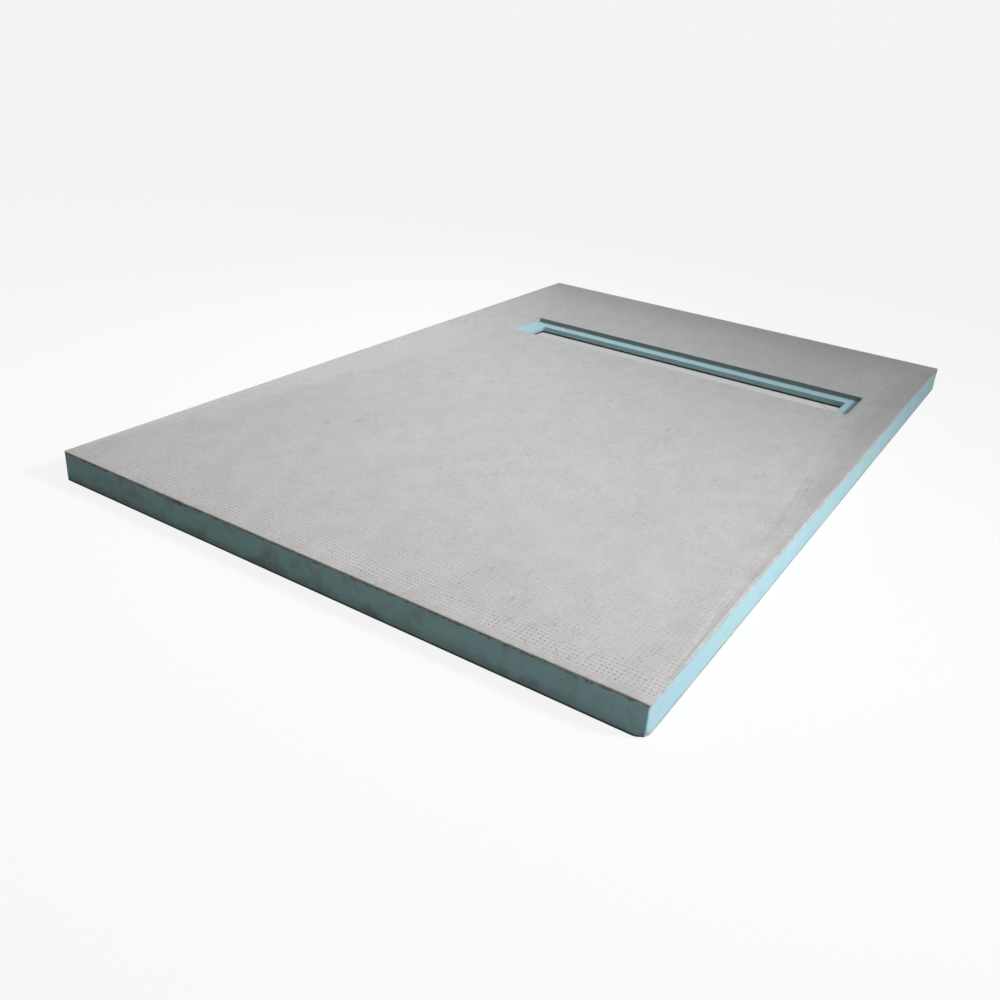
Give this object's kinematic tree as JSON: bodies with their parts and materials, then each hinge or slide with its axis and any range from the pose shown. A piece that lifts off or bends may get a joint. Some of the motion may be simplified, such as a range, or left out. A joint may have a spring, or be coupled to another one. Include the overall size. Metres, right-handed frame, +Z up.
{
  "type": "foam shower pan",
  "caption": "Rectangular foam shower pan for a tiled floor, with a four-way fall to a recessed slot for a linear drain near its back edge and a thin cement coat on both faces.",
  "frame": {"origin": "centre of the underside", "axes": "+Y from the front edge to the back edge, next to the drain, +Z up out of the tiled face, +X along the drain to the right edge"},
  "size_m": [0.8, 1.2, 0.04],
  "materials": {
    "foam": "extruded foam, sawn and routed, pale blue-green",
    "top_cement": "matt light grey cement coat over glass mesh",
    "bottom_cement": "matt grey cement coat over glass mesh"
  },
  "bodies": {
    "root": {"foam_core": "foam", "top_coat": "top_cement", "bottom_coat": "bottom_cement"}
  },
  "joints": []
}
